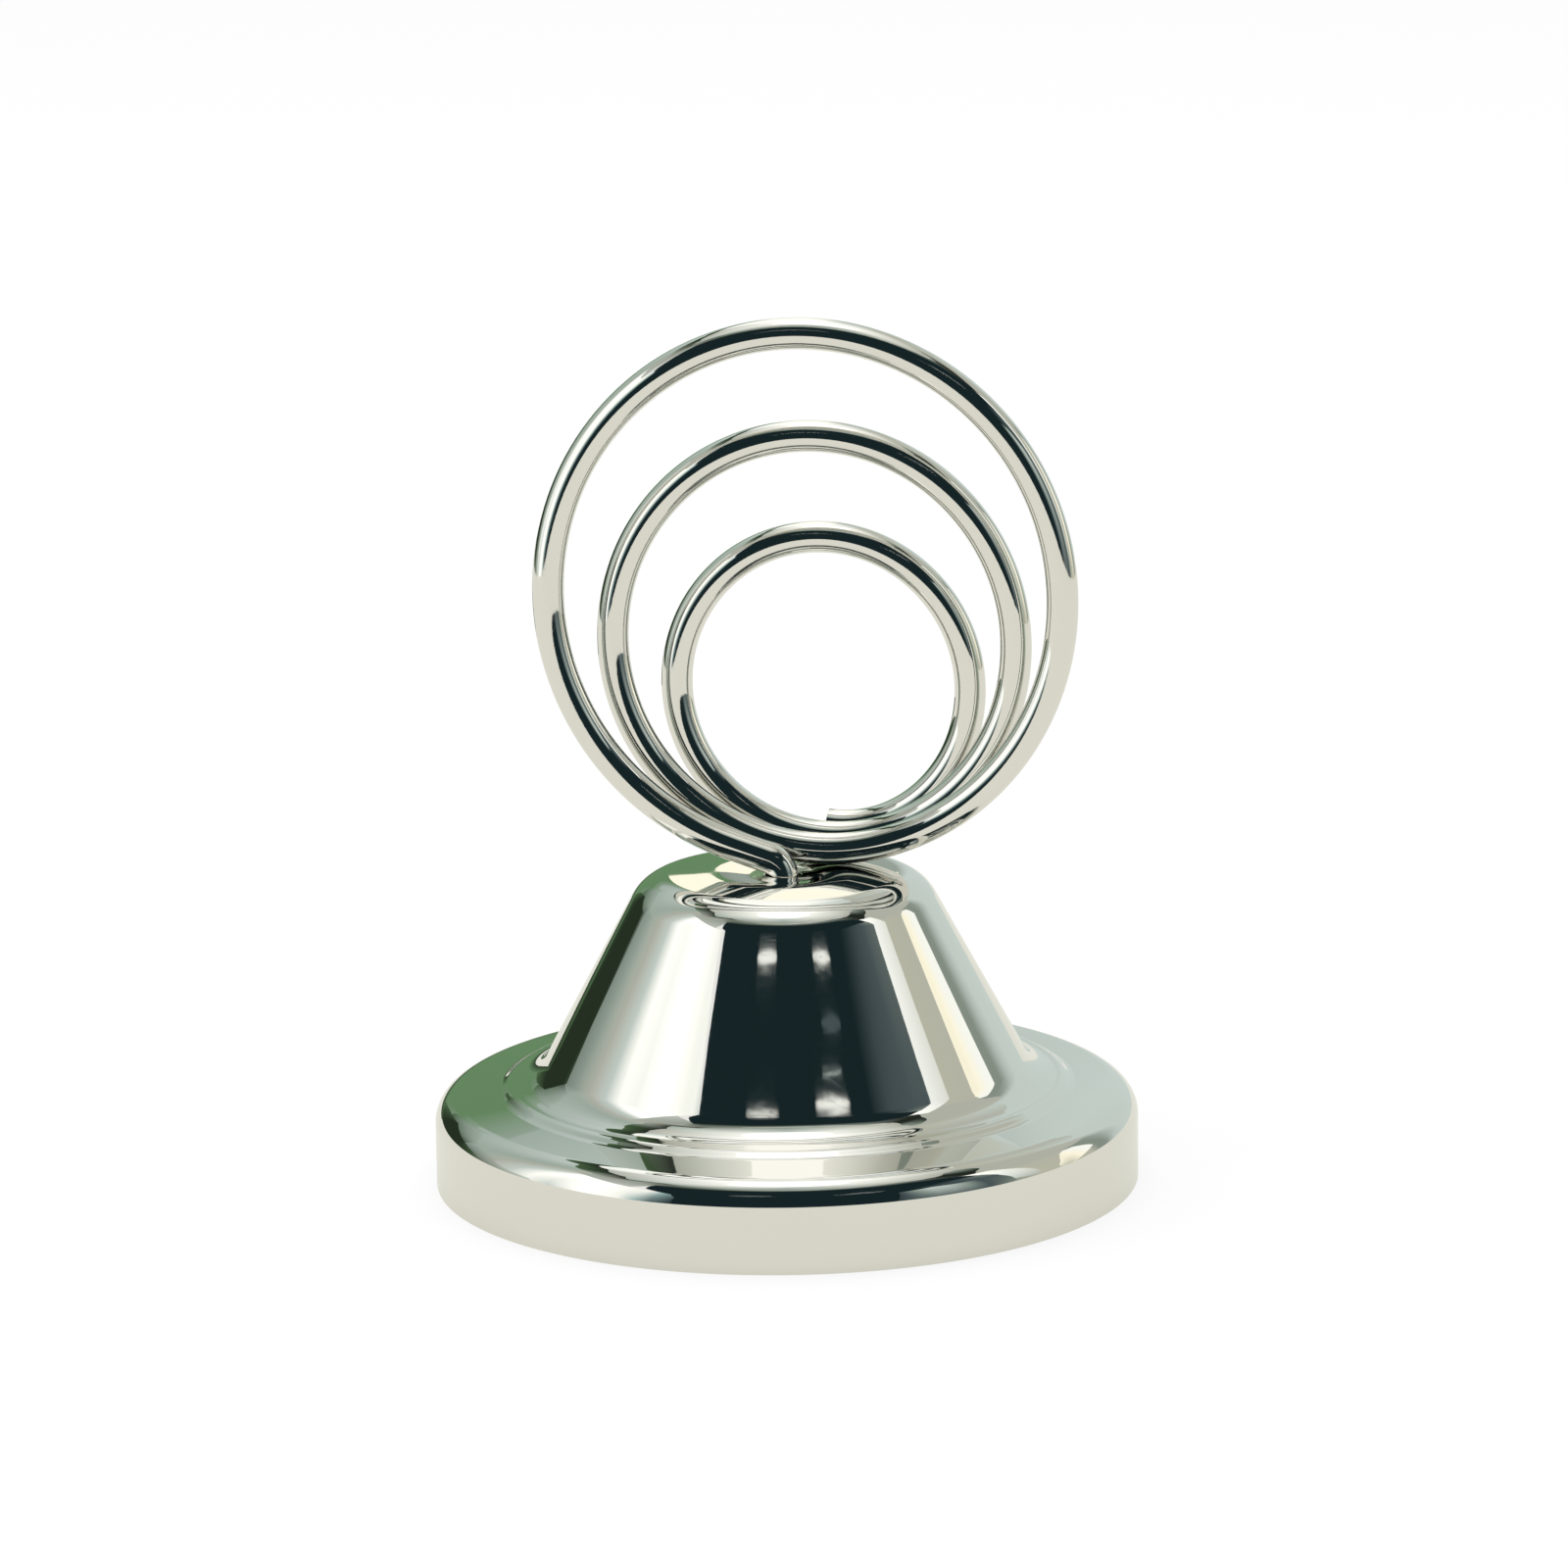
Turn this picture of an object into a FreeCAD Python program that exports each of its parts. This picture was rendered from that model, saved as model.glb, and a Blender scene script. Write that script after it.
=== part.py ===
import FreeCAD, Part
import math
import os
import Sketcher

# Memo clip holder: a nickel plated steel bell, pressed from one sheet, that
# carries one steel wire wound into three shrinking turns. Cards and notes are
# pushed between the turns. A washer under the crown takes the peened tail of
# the wire.
#
# Frame: millimetres, +Z up, origin at the centre of the rim's lower edge, on
# the surface that the bell stands on. The turns face -Y and +Y, and each turn
# lies one wire further towards +Y than the turn before it.

DIMENSIONS = {
    # Bell, outer form
    "base_diameter": 45.0,
    "rim_height": 5.65,
    "rim_inside_radius": 1.1,
    "flange_slope_angle": 7.0,
    "step_width": 0.55,
    "step_height": 0.4,
    "step_inside_radius": 0.2,
    "ledge_width": 0.3,
    "flange_width": 6.5,
    "foot_radius": 2.7,
    "crown_height": 20.3,
    "cone_spread": 7.29,
    "dish_depth": 0.45,
    "dish_floor_diameter": 5.2,
    "crown_inside_radius": 1.4,
    "sheet_thickness": 0.7,
    # Wire, leg and turns
    "wire_diameter": 2.0,
    "wire_hole_clearance": 0.15,
    "bend_depth": 0.24,
    "knuckle_inside_radius": 0.35,
    "strand_clearance": 0.21,
    "first_turn_width": 35.9,
    "first_turn_height": 37.1,
    "turn_start_angle": 252.0,
    "turn_sweep_angle": 1070.0,
    "turn_shrink": 3.47,
    "turn_rise": 0.28,
    "turn_drift": 0.32,
    "turn_gap": 0.1,
    "wire_end_radius": 0.25,
    # Fastening under the crown
    "washer_diameter": 6.5,
    "washer_thickness": 0.6,
    "washer_edge": 0.15,
    "tail_head_diameter": 3.4,
    "tail_head_height": 0.8,
    "tail_head_radius": 0.6,
}

ARCS_PER_TURN = 24
SHEET = "Dimensions"

# Rough places of a sketch's corners, in a fan that its constraints then move
ROUGH_START = 10.0
ROUGH_PITCH = 3.0

doc = FreeCAD.newDocument("memo_clip_holder")


# Spreadsheet of driving dimensions

sheet = doc.addObject("Spreadsheet::Sheet", SHEET)
for row, (alias, value) in enumerate(DIMENSIONS.items(), start=1):
    sheet.set(f"A{row}", alias)
    sheet.set(f"B{row}", str(value))
    sheet.setAlias(f"B{row}", alias)
doc.recompute()


def size(alias):
    """Value of a driving dimension as a plain number."""
    return float(getattr(sheet, alias))


def cell(alias):
    """Name of a driving dimension as an expression writes it."""
    return f"{SHEET}.{alias}"


def origin_plane(body, role):
    """One of the body's own origin planes."""
    return next(item for item in body.Origin.OriginFeatures if item.Role == role)


def add_sketch(body, name, role):
    """Empty sketch on one of the body's origin planes."""
    sketch = body.newObject("Sketcher::SketchObject", name)
    sketch.AttachmentSupport = [(origin_plane(body, role), "")]
    sketch.MapMode = "FlatFace"
    return sketch


def draw_outline(sketch, corners):
    """Closed outline of straight runs, each corner placed by two bound distances.

    A corner is (name, across, up), where across and up are expressions. A
    distance of None stands for the sketch's own axis.
    """
    points = [
        FreeCAD.Vector(ROUGH_START + ROUGH_PITCH * k, ROUGH_START + k * k, 0)
        for k in range(len(corners))
    ]
    for k, start in enumerate(points):
        end = points[(k + 1) % len(points)]
        sketch.addGeometry(Part.LineSegment(start, end), False)
    for k in range(len(points)):
        following = (k + 1) % len(points)
        sketch.addConstraint(Sketcher.Constraint("Coincident", k, 2, following, 1))
    for k, (name, across, up) in enumerate(corners):
        for letter, kind, axis, distance in (
            ("x", "DistanceX", -2, across),
            ("y", "DistanceY", -1, up),
        ):
            if distance is None:
                sketch.addConstraint(Sketcher.Constraint("PointOnObject", k, 1, axis))
                continue
            label = f"{name}_{letter}"
            placed = Sketcher.Constraint(kind, -1, 1, k, 1, 5.0 + k)
            index = sketch.addConstraint(placed)
            sketch.renameConstraint(index, label)
            sketch.setExpression(f"Constraints.{label}", distance)


def edges_on_circle(shape, radius, height):
    """Names of the full circles about the Z axis with this radius and height."""
    names = []
    for number, edge in enumerate(shape.Edges, start=1):
        curve = edge.Curve
        if not isinstance(curve, Part.Circle):
            continue
        same_radius = abs(curve.Radius - radius) < 1e-4
        same_height = abs(curve.Center.z - height) < 1e-4
        if same_radius and same_height:
            names.append(f"Edge{number}")
    return names


def flat_face_at(shape, height):
    """Name of the level face at this height."""
    for number, face in enumerate(shape.Faces, start=1):
        box = face.BoundBox
        if abs(box.ZMin - height) < 1e-4 and abs(box.ZMax - height) < 1e-4:
            return f"Face{number}"
    raise RuntimeError(f"no level face at {height}")


# Base shell: turned outline, pressed radii, one sheet thick

shell = doc.addObject("PartDesign::Body", "base_shell")
shell.Label = "base_shell"

rim_radius = f"{cell('base_diameter')} / 2"
foot_radial = f"({rim_radius} - {cell('flange_width')})"
crown_radial = f"({foot_radial} - {cell('cone_spread')})"
slope = f"tan({cell('flange_slope_angle')} * 1 deg)"

# The foot round reaches this far out before the ledge and the step begin
cone_rise = f"({cell('crown_height')} - {cell('rim_height')})"
cone_lean = f"atan(({foot_radial} - {crown_radial}) / {cone_rise})"
foot_turn = f"(90 deg - {cell('flange_slope_angle')} * 1 deg - {cone_lean})"
foot_reach = f"{cell('foot_radius')} * tan({foot_turn} / 2)"
step_inside = f"({foot_radial} + {foot_reach} + {cell('ledge_width')})"
step_outside = f"({step_inside} + {cell('step_width')})"
step_low = f"({cell('rim_height')} + ({rim_radius} - {step_outside}) * {slope})"
step_high = f"({step_low} + {cell('step_height')})"
foot_level = f"({step_high} + ({step_inside} - {foot_radial}) * {slope})"

# The crown is a shallow dish, drawn down in the middle where the tail is peened
dish_floor = f"({cell('crown_height')} - {cell('dish_depth')})"

outline = add_sketch(shell, "bell_outline", "XZ_Plane")
draw_outline(
    outline,
    [
        ("centre_low", None, None),
        ("rim_low", rim_radius, None),
        ("rim_high", rim_radius, cell("rim_height")),
        ("step_outer", step_outside, step_low),
        ("step_inner", step_inside, step_high),
        ("foot", foot_radial, foot_level),
        ("crown", crown_radial, cell("crown_height")),
        ("dish_floor", f"{cell('dish_floor_diameter')} / 2", dish_floor),
        ("centre_high", None, dish_floor),
    ],
)
doc.recompute()

blank = shell.newObject("PartDesign::Revolution", "bell_blank")
blank.Profile = outline
blank.ReferenceAxis = (outline, ["V_Axis"])
blank.Angle = 360.0
doc.recompute()


def bell_fillet(name, base, corners, radius):
    """Fillet of one radius round the named corners of the outline."""
    names = []
    for corner in corners:
        across = outline.getDatum(f"{corner}_x").Value
        up = outline.getDatum(f"{corner}_y").Value
        names += edges_on_circle(base.Shape, across, up)
    feature = shell.newObject("PartDesign::Fillet", name)
    feature.Base = (base, names)
    feature.setExpression("Radius", radius)
    doc.recompute()
    return feature


def outside_radius(inside):
    """Radius on the outside of a bend that has this inside radius."""
    return f"{cell(inside)} + {cell('sheet_thickness')}"


step_corners = ["step_outer", "step_inner"]
step = bell_fillet("step_rounds", blank, step_corners, outside_radius("step_inside_radius"))
foot = bell_fillet("foot_round", step, ["foot"], cell("foot_radius"))
crown = bell_fillet("crown_round", foot, ["crown"], outside_radius("crown_inside_radius"))
rim = bell_fillet("rim_round", crown, ["rim_high"], outside_radius("rim_inside_radius"))

pressed = shell.newObject("PartDesign::Thickness", "sheet_metal")
pressed.Base = (rim, [flat_face_at(rim.Shape, 0.0)])
pressed.setExpression("Value", cell("sheet_thickness"))
pressed.Reversed = True
pressed.Mode = 0
pressed.Join = 0
doc.recompute()

hole_radius = f"{cell('wire_diameter')} / 2 + {cell('wire_hole_clearance')}"
hole_circle = add_sketch(shell, "wire_hole_circle", "XY_Plane")
hole_circle.addGeometry(Part.Circle(FreeCAD.Vector(0, 0, 0), FreeCAD.Vector(0, 0, 1), 1.0), False)
hole_circle.addConstraint(Sketcher.Constraint("Coincident", 0, 3, -1, 1))
hole_circle.addConstraint(Sketcher.Constraint("Radius", 0, 1.0))
hole_circle.renameConstraint(1, "hole_radius")
hole_circle.setExpression("Constraints.hole_radius", hole_radius)
doc.recompute()

pierced = shell.newObject("PartDesign::Pocket", "wire_hole")
pierced.Profile = hole_circle
pierced.Type = 1
pierced.Reversed = True
doc.recompute()
middle_of_sheet = size("crown_height") - size("dish_depth") - size("sheet_thickness") / 2
in_the_hole = FreeCAD.Vector(0, 0, middle_of_sheet)
was_sheet = pressed.Shape.isInside(in_the_hole, 1e-3, True)
if not was_sheet or pierced.Shape.isInside(in_the_hole, 1e-3, True):
    raise RuntimeError("the wire hole was not pierced through the crown")


# Backing washer: flat ring against the underside of the crown

washer = doc.addObject("PartDesign::Body", "backing_washer")
washer.Label = "backing_washer"
ring_sketch = add_sketch(washer, "washer_ring", "XY_Plane")
for number, (label, distance) in enumerate(
    (("outer_radius", f"{cell('washer_diameter')} / 2"), ("bore_radius", hole_radius))
):
    circle = Part.Circle(FreeCAD.Vector(0, 0, 0), FreeCAD.Vector(0, 0, 1), 3.0 - number)
    ring_sketch.addGeometry(circle, False)
    ring_sketch.addConstraint(Sketcher.Constraint("Coincident", number, 3, -1, 1))
    index = ring_sketch.addConstraint(Sketcher.Constraint("Radius", number, 3.0 - number))
    ring_sketch.renameConstraint(index, label)
    ring_sketch.setExpression(f"Constraints.{label}", distance)
doc.recompute()
ring_pad = washer.newObject("PartDesign::Pad", "washer_plate")
ring_pad.Profile = ring_sketch
ring_pad.setExpression("Length", cell("washer_thickness"))
doc.recompute()
ring_edges = [
    name
    for level in (0.0, size("washer_thickness"))
    for name in edges_on_circle(ring_pad.Shape, size("washer_diameter") / 2, level)
]
ring_chamfer = washer.newObject("PartDesign::Chamfer", "washer_edges")
ring_chamfer.Base = (ring_pad, ring_edges)
ring_chamfer.setExpression("Size", cell("washer_edge"))
crown_underside = f"{dish_floor} - {cell('sheet_thickness')}"
washer_underside = f"{crown_underside} - {cell('washer_thickness')}"
washer.setExpression("Placement.Base.z", washer_underside)
doc.recompute()


# Wire clip: path of the wire, from its tail up the leg and round the turns


def turn_point(turns, origin):
    """Centre of the wire after this many turns from the bottom of the first one."""
    angle = math.radians(-90.0) - 2 * math.pi * turns
    radius = size("first_turn_width") / 2 - size("turn_shrink") * turns
    oval = size("first_turn_height") / size("first_turn_width")
    drop = oval * size("turn_shrink") - size("turn_rise")
    across = size("turn_drift") * turns + radius * math.cos(angle)
    up = -drop * turns + oval * radius * math.sin(angle)
    back = (size("wire_diameter") + size("turn_gap")) * turns
    return origin + FreeCAD.Vector(across, back, up)


def turn_direction(turns):
    """Direction of the wire at this place, as a unit vector."""
    nudge = 1e-5
    start = turn_point(turns - nudge, FreeCAD.Vector())
    end = turn_point(turns + nudge, FreeCAD.Vector())
    return (end - start).normalize()


def arc_from(start, direction, end):
    """Arc that leaves start along direction and passes through end, and its last direction."""
    chord = end - start
    sideways = chord - direction * chord.dot(direction)
    radius = chord.Length ** 2 / (2 * sideways.Length)
    inward = sideways.normalize()
    centre = start + inward * radius
    half = math.asin(chord.Length / (2 * radius))
    middle = centre - inward * radius * math.cos(half) + direction * radius * math.sin(half)
    arc = Part.Arc(start, middle, end).toShape()
    leaving = direction * math.cos(2 * half) + inward * math.sin(2 * half)
    return arc, leaving.normalize()


def wire_path():
    """Leg, knuckle, lead and turns as straight runs joined by tangent arcs."""
    up = FreeCAD.Vector(0, 0, 1)
    first = -(size("turn_start_angle") - 270.0) / 360.0
    direction = turn_direction(first)
    bend = math.acos(up.dot(direction))
    bend_radius = size("knuckle_inside_radius") + size("wire_diameter") / 2
    tangent = bend_radius * math.tan(bend / 2)
    floor = size("crown_height") - size("dish_depth")
    tail = up * (floor - size("sheet_thickness") - size("washer_thickness"))
    # The bend begins a little way down inside the hole
    leg_top = up * (floor - size("bend_depth"))
    corner = leg_top + up * tangent
    knuckle_end = corner + direction * tangent
    # The bottom of the second turn is the lowest, just clear of the dish in the crown
    unplaced = turn_point(first, FreeCAD.Vector())
    fall = unplaced.z - turn_point(1.0, FreeCAD.Vector()).z
    lowest = floor + size("strand_clearance") + size("wire_diameter") / 2
    lead_end = corner + direction * ((lowest + fall - corner.z) / direction.z)
    knuckle, direction = arc_from(leg_top, up, knuckle_end)
    edges = [
        Part.LineSegment(tail, leg_top).toShape(),
        knuckle,
        Part.LineSegment(knuckle_end, lead_end).toShape(),
    ]
    origin = lead_end - unplaced
    turns = size("turn_sweep_angle") / 360.0
    count = math.ceil(turns * ARCS_PER_TURN)
    here = lead_end
    for k in range(1, count + 1):
        there = turn_point(first + turns * k / count, origin)
        arc, direction = arc_from(here, direction, there)
        edges.append(arc)
        here = there
    return Part.Wire(edges)


path = doc.addObject("Part::Feature", "wire_path")
path.Shape = wire_path()

section = doc.addObject("Part::Circle", "wire_section")
section.setExpression("Radius", f"{cell('wire_diameter')} / 2")
section.setExpression("Placement.Base.z", washer_underside)

wound = doc.addObject("Part::Sweep", "wound_wire")
wound.Sections = [section]
wound.Spine = (path, [f"Edge{k + 1}" for k in range(len(path.Shape.Edges))])
wound.Solid = True
wound.Frenet = False
doc.recompute()

head_disc = doc.addObject("Part::Cylinder", "tail_head_disc")
head_disc.setExpression("Radius", f"{cell('tail_head_diameter')} / 2")
head_disc.setExpression("Height", cell("tail_head_height"))
head_disc.setExpression("Placement.Base.z", f"{washer_underside} - {cell('tail_head_height')}")
doc.recompute()

head_level = head_disc.Placement.Base.z
head = doc.addObject("Part::Fillet", "tail_head")
head.Base = head_disc
head.Edges = [
    (int(name[4:]), size("tail_head_radius"), size("tail_head_radius"))
    for name in edges_on_circle(head_disc.Shape, size("tail_head_diameter") / 2, head_level)
]

wire_raw = doc.addObject("Part::MultiFuse", "wire_and_head")
wire_raw.Shapes = [wound, head]
doc.recompute()


def end_edges(shape, end):
    """Numbers of the edges that bound the cut end of the wire."""
    reach = size("wire_diameter") / 2
    found = []
    for number, edge in enumerate(shape.Edges, start=1):
        middle = edge.BoundBox.Center
        close = (middle - end).Length < 1e-3 * reach
        if close and edge.BoundBox.DiagonalLength < 4 * reach:
            found.append(number)
    return found


wire_end = path.Shape.OrderedVertexes[-1].Point
clip = doc.addObject("Part::Fillet", "wire_clip")
clip.Label = "wire_clip"
clip.Base = wire_raw
clip.Edges = [
    (number, size("wire_end_radius"), size("wire_end_radius"))
    for number in end_edges(wire_raw.Shape, wire_end)
]
doc.recompute()


# Check and export

SUB_PARTS = [shell, clip, washer]

for item in doc.Objects:
    if "Invalid" in item.State or "Error" in item.State:
        raise RuntimeError(f"{item.Label}: {item.State}")

os.makedirs("parts", exist_ok=True)
for item in SUB_PARTS:
    shape = item.Shape
    if shape.isNull() or not shape.isValid():
        raise RuntimeError(f"{item.Label} has no valid shape")
    if len(shape.Solids) != 1:
        raise RuntimeError(f"{item.Label} is {len(shape.Solids)} solids")
    shape.exportStep(os.path.join("parts", f"{item.Label}.step"))
    box = shape.optimalBoundingBox(False)
    print(
        f"{item.Label}: volume {shape.Volume:.2f} mm3, {len(shape.Faces)} faces,"
        f" {box.XLength:.2f} x {box.YLength:.2f} x {box.ZLength:.2f} mm,"
        f" z {box.ZMin:.2f} to {box.ZMax:.2f}"
    )
section_area = math.pi * size("wire_diameter") ** 2 / 4
print(f"wire: length {path.Shape.Length:.2f} mm, section times length {section_area * path.Shape.Length:.2f} mm3")
print(f"wound wire volume {wound.Shape.Volume:.2f} mm3")
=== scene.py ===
"""Desk memo clip: a nickel plated bell base, pressed from one sheet, with a wire clip wound in three turns.

Sizes are in metres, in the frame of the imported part: +Z up, the origin at the
centre of the rim's lower edge, and the largest turn of the wire facing -Y.
"""

import logging
import math
from dataclasses import dataclass, field
from enum import Enum

import bpy
from mathutils import Matrix, Quaternion, Vector, noise

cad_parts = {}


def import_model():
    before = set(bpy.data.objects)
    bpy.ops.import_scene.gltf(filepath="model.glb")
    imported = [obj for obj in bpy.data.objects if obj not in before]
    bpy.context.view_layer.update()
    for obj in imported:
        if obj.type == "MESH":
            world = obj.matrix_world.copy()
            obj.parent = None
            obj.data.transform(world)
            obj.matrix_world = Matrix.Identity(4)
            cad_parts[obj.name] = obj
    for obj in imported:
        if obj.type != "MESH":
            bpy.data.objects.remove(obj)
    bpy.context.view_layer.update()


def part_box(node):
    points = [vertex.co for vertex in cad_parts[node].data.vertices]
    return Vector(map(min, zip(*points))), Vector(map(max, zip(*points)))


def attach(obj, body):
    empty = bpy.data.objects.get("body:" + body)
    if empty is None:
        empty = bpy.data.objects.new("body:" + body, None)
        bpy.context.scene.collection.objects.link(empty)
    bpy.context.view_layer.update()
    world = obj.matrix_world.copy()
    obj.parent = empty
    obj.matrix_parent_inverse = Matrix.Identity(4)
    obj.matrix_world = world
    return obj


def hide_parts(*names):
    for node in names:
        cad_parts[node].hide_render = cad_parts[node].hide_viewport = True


MM = 0.001
FULL_TURN = 2 * math.pi
LOG = logging.getLogger("memo_clip")

Colour = tuple[float, float, float]


# Sections and skins


class Side(Enum):
    """Side of the pressed sheet, with the material slot that dresses it."""

    OUTSIDE = 0
    INSIDE = 1


@dataclass(frozen=True)
class Corner:
    """Corner of a section before it is rounded: distance from the axis, height and radius."""

    out: float
    up: float
    radius: float = 0.0
    side: Side = Side.OUTSIDE

    @property
    def place(self) -> Vector:
        """The corner as a point of the section's plane."""
        return Vector((self.out, self.up))


@dataclass(frozen=True)
class SectionPoint:
    """Point of a rounded section, with the outward normal and the side of the sheet."""

    place: Vector
    normal: Vector
    side: Side


def outward(direction: Vector) -> Vector:
    """Normal on the right of a direction, which is outside for a section that runs anticlockwise."""
    return Vector((direction.y, -direction.x))


def round_corner(before: Vector, corner: Corner, after: Vector, facet: float) -> list[SectionPoint]:
    """Rounds one corner of a section.

    Args:
        before: Point that the section comes from.
        corner: The corner itself, with its radius.
        after: Point that the section goes on to.
        facet: Largest angle that one facet of the round turns through, in radians.

    Returns:
        The points of the round, each with its own normal.
    """
    coming = (corner.place - before).normalized()
    going = (after - corner.place).normalized()
    turn = math.atan2(coming.x * going.y - coming.y * going.x, coming.dot(going))
    if corner.radius == 0.0:
        return [
            SectionPoint(corner.place, outward(coming), corner.side),
            SectionPoint(corner.place, outward(going), corner.side),
        ]
    hand = math.copysign(1.0, turn)
    start = corner.place - coming * corner.radius * math.tan(abs(turn) / 2)
    centre = start - outward(coming) * corner.radius * hand
    count = max(2, math.ceil(abs(turn) / facet))
    points = []
    for step in range(count + 1):
        normal = Matrix.Rotation(turn * step / count, 2) @ outward(coming)
        points.append(SectionPoint(centre + normal * corner.radius * hand, normal, corner.side))
    return points


def rounded_section(corners: list[Corner], closed: bool, facet: float) -> list[SectionPoint]:
    """Rounds every corner of a section that runs anticlockwise.

    Args:
        corners: Corners in order, the two ends of an open section among them.
        closed: Whether the last corner runs on to the first.
        facet: Largest angle of one facet, in radians.

    Returns:
        The section's points in order.
    """
    count = len(corners)
    points = []
    for index in range(count):
        if not closed and index in (0, count - 1):
            neighbour = corners[1] if index == 0 else corners[count - 2]
            run = corners[index].place - neighbour.place
            direction = (-run if index == 0 else run).normalized()
            points.append(SectionPoint(corners[index].place, outward(direction), corners[index].side))
            continue
        before = corners[index - 1].place
        after = corners[(index + 1) % count].place
        points += round_corner(before, corners[index], after, facet)
    return points


@dataclass
class Skin:
    """Mesh drawn as rings of points, each joined to the ring before it."""

    name: str
    points: list[Vector] = field(default_factory=list)
    normals: list[Vector] = field(default_factory=list)
    faces: list[tuple[int, ...]] = field(default_factory=list)
    sides: list[int] = field(default_factory=list)

    def ring(self, places: list[Vector], normals: list[Vector]) -> list[int]:
        """Adds a ring, or a single point where a round closes.

        Args:
            places: Points of the ring, anticlockwise round the way ahead.
            normals: Surface normal at each point.

        Returns:
            Numbers of the ring's points.
        """
        first = len(self.points)
        self.points += places
        self.normals += normals
        return list(range(first, len(self.points)))

    def join(self, near: list[int], far: list[int], side: Side = Side.OUTSIDE) -> None:
        """Joins two rings with faces, or a ring with the single point that closes it.

        Args:
            near: Ring that the skin comes from.
            far: Ring that the skin goes on to.
            side: Side of the sheet that the faces belong to.
        """
        count = max(len(near), len(far))
        for index in range(count):
            following = (index + 1) % count
            if len(near) == 1:
                face = (near[0], far[following], far[index])
            elif len(far) == 1:
                face = (near[index], near[following], far[0])
            else:
                face = (near[index], near[following], far[following], far[index])
            self.faces.append(face)
            self.sides.append(side.value)

    def make(self, finishes: list[bpy.types.Material]) -> bpy.types.Object:
        """Turns the rings into an object at the origin.

        Args:
            finishes: Materials, in the order of the sides of the sheet.

        Returns:
            The object, linked to the scene.
        """
        mesh = bpy.data.meshes.new(self.name)
        mesh.from_pydata(self.points, [], self.faces)
        for finish in finishes:
            mesh.materials.append(finish)
        mesh.polygons.foreach_set("material_index", self.sides)
        mesh.shade_smooth()
        mesh.normals_split_custom_set_from_vertices(self.normals)
        piece = bpy.data.objects.new(self.name, mesh)
        bpy.context.scene.collection.objects.link(piece)
        return piece


def turned_ring(point: SectionPoint, around: int) -> tuple[list[Vector], list[Vector]]:
    """Ring that one section point makes when it is turned about the Z axis.

    Args:
        point: Point of the section.
        around: Number of points in the ring.

    Returns:
        The ring's places and its normals.
    """
    places, normals = [], []
    for index in range(around):
        angle = FULL_TURN * index / around
        across, along = math.cos(angle), math.sin(angle)
        places.append(Vector((point.place.x * across, point.place.x * along, point.place.y)))
        normals.append(Vector((point.normal.x * across, point.normal.x * along, point.normal.y)))
    return places, normals


def turned_skin(name: str, section: list[SectionPoint], around: int) -> Skin:
    """Skin of a closed section turned about the Z axis.

    Args:
        name: Name of the piece.
        section: Closed section, anticlockwise.
        around: Number of points in each ring.

    Returns:
        The skin, still to be dressed.
    """
    skin = Skin(name)
    rings = [skin.ring(*turned_ring(point, around)) for point in section]
    for index, point in enumerate(section):
        following = (index + 1) % len(section)
        side = section[following].side if point.side is Side.INSIDE else point.side
        skin.join(rings[index], rings[following], side)
    return skin


# Shader effects shared by the finishes

SCRATCH_TURN = (0.4, 0.9, 0.3)
SCRATCH_STRETCH = (1.0, 14.0, 3.0)
SCRATCH_SHARPNESS = 60.0
SPECK_LEVEL = 0.62
SPECK_CONTRAST = 6.0


@dataclass
class Wiring:
    """Short-hand for adding nodes to one tree and joining them up."""

    tree: bpy.types.NodeTree

    def add(self, kind: str, **settings: object) -> bpy.types.Node:
        """Adds a node and sets its properties.

        Args:
            kind: Node type without the words that every shader node type starts with.
            **settings: Property names and values.

        Returns:
            The new node.
        """
        node = self.tree.nodes.new(f"ShaderNode{kind}")
        for name, value in settings.items():
            setattr(node, name, value)
        return node

    def join(self, source: bpy.types.NodeSocket, target: bpy.types.NodeSocket) -> None:
        """Joins an output to an input."""
        self.tree.links.new(source, target)

    def maths(self, operation: str, first: object, second: object = 0.0) -> bpy.types.NodeSocket:
        """Adds a maths node whose inputs are sockets or plain numbers.

        Args:
            operation: Name of the operation.
            first: First input.
            second: Second input.

        Returns:
            The result's socket.
        """
        node = self.add("Math", operation=operation)
        for socket, value in zip(node.inputs, (first, second)):
            if isinstance(value, bpy.types.NodeSocket):
                self.join(value, socket)
            else:
                socket.default_value = value
        return node.outputs[0]

    def noise(self, size: object, detail: float, place: bpy.types.NodeSocket) -> bpy.types.NodeSocket:
        """Adds noise whose lumps have about this size.

        Args:
            size: Size of a lump in metres, a socket or a number.
            detail: Number of finer layers.
            place: Coordinates that the noise is read at.

        Returns:
            The noise, from 0 to 1.
        """
        node = self.add("TexNoise")
        node.inputs["Detail"].default_value = detail
        self.join(self.maths("DIVIDE", 1.0, size), node.inputs["Scale"])
        self.join(place, node.inputs["Vector"])
        return node.outputs["Fac"]


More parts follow.
